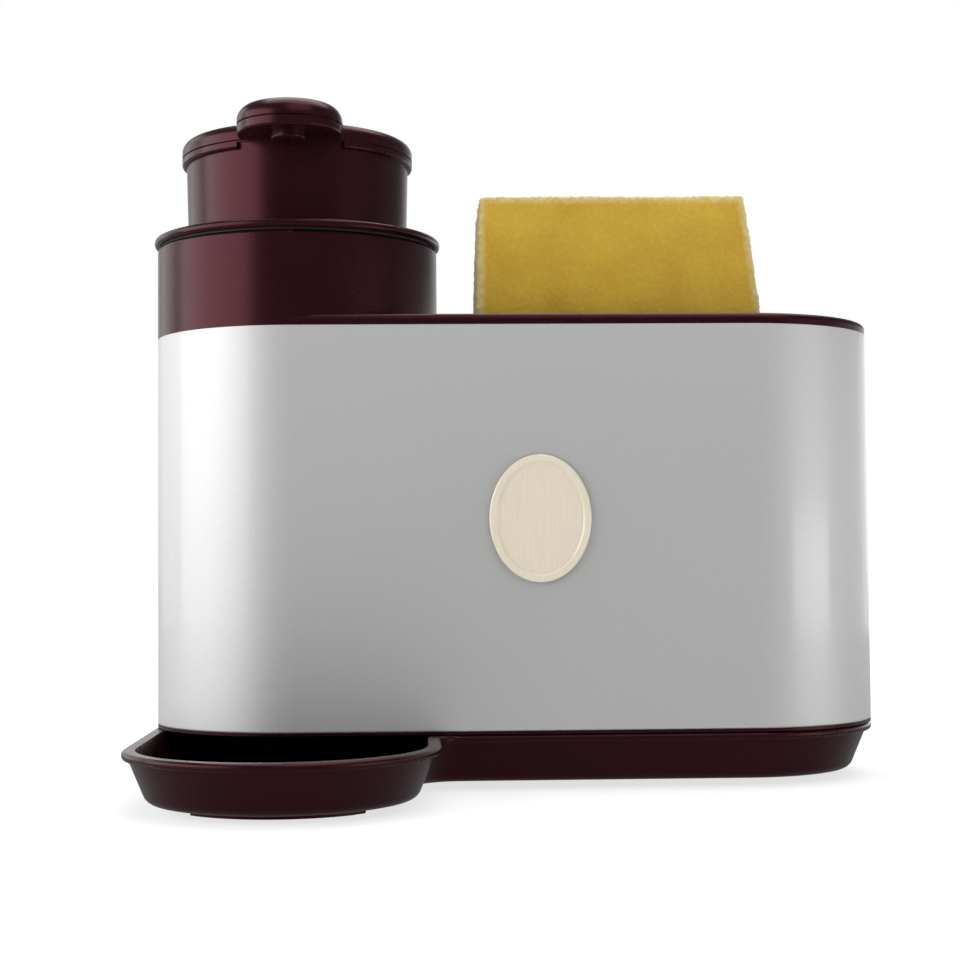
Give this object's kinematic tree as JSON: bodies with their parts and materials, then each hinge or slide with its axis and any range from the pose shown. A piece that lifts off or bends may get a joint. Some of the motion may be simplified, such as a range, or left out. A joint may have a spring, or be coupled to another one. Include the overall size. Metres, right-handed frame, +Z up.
{
  "type": "soap pump caddy",
  "caption": "Long round-ended counter caddy with a press-down soap pump in a tower, a sponge standing in a drained well and a lift-off drip tray with a tongue under the spout.",
  "frame": {"origin": "middle of the footprint, on the surface that the caddy stands on", "axes": "+X along the body from the pump to the sponge, +Y towards the back, +Z up"},
  "size_m": [0.225, 0.159, 0.2038],
  "materials": {
    "burgundy": "glossy burgundy ABS moulding",
    "silver": "pearl silver lacquered sheet",
    "champagne": "champagne anodised plate with a raised border",
    "pump_plastic": "natural polypropylene",
    "rubber": "matt black rubber",
    "steel": "stainless steel",
    "foam": "yellow open-cell cellulose sponge"
  },
  "bodies": {
    "base": {"base_tray": "burgundy", "foot_pads": "rubber"},
    "caddy_body": {"outer_sleeve": "silver", "bottom_plate": "burgundy", "plate_screws": "steel", "deck": "burgundy", "soap_tank": "burgundy", "sponge_well": "burgundy", "badge_plate": "champagne", "badge_pad": "rubber"},
    "lid": {"lid": "burgundy", "lid_gasket": "rubber", "guide_ring": "burgundy", "pump_cylinder": "pump_plastic", "pump_gasket": "rubber", "pump_nut": "pump_plastic", "stem_bush": "pump_plastic", "return_spring": "steel", "valve_cage": "pump_plastic", "dip_tube": "pump_plastic"},
    "plunger": {"pump_stem": "pump_plastic", "piston": "pump_plastic", "piston_seal": "rubber"},
    "pump_head": {"head_body": "burgundy", "head_cover": "burgundy", "spout_channel": "burgundy", "nozzle": "burgundy"},
    "inlet_valve": {"inlet_ball": "steel"},
    "outlet_valve": {"outlet_ball": "steel"},
    "rack": {"drain_rack": "burgundy"},
    "sponge": {"sponge": "foam"}
  },
  "joints": [
    {"name": "body_lift", "type": "slide", "parent": "base", "child": "caddy_body", "axis": [0, 0, 1], "range_m": [0, 0.04]},
    {"name": "lid_lift", "type": "slide", "parent": "caddy_body", "child": "lid", "axis": [0, 0, 1], "range_m": [0, 0.135]},
    {"name": "pump_press", "type": "slide", "parent": "lid", "child": "plunger", "axis": [0, 0, -1], "range_m": [0, 0.018], "stiffness_N_per_m": 400, "springref_m": -0.006, "deforming": ["return_spring"]},
    {"name": "head_swivel", "type": "hinge", "parent": "plunger", "child": "pump_head", "pos_m": [-0.0675, 0.0345, 0.1943], "axis": [0, 0, 1], "continuous": true},
    {"name": "inlet_ball_lift", "type": "slide", "parent": "lid", "child": "inlet_valve", "axis": [0, 0, 1], "range_m": [0, 0.0012]},
    {"name": "outlet_ball_lift", "type": "slide", "parent": "plunger", "child": "outlet_valve", "axis": [0, 0, 1], "range_m": [0, 0.0012]},
    {"name": "rack_lift", "type": "slide", "parent": "caddy_body", "child": "rack", "axis": [0, 0, 1], "range_m": [0, 0.09]},
    {"name": "sponge_lift", "type": "slide", "parent": "rack", "child": "sponge", "axis": [0, 0, 1], "range_m": [0, 0.09]}
  ]
}
